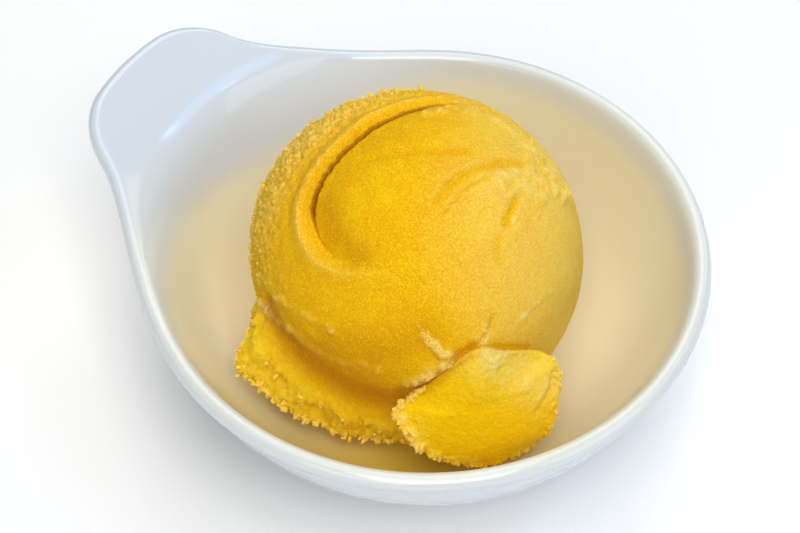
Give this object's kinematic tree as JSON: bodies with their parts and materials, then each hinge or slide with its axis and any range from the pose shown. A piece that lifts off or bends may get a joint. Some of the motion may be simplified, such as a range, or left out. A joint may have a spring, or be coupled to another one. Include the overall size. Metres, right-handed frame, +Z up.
{
  "type": "sorbet cup",
  "caption": "Scoop of mango-yellow sorbet with a rolled edge, skirt and tongue, in a small white porcelain tasting dish with a flared handle.",
  "frame": {"origin": "on the surface it stands on, under the middle of the dish's length and width", "axes": "+Z up; +X along the dish's length, away from the handle, which points to -X"},
  "size_m": [0.128, 0.1098, 0.0675],
  "materials": {
    "porcelain": "polished",
    "sorbet": "frozen, slightly wet"
  },
  "bodies": {
    "root": {"dish": "porcelain", "sorbet": "sorbet"}
  },
  "joints": []
}
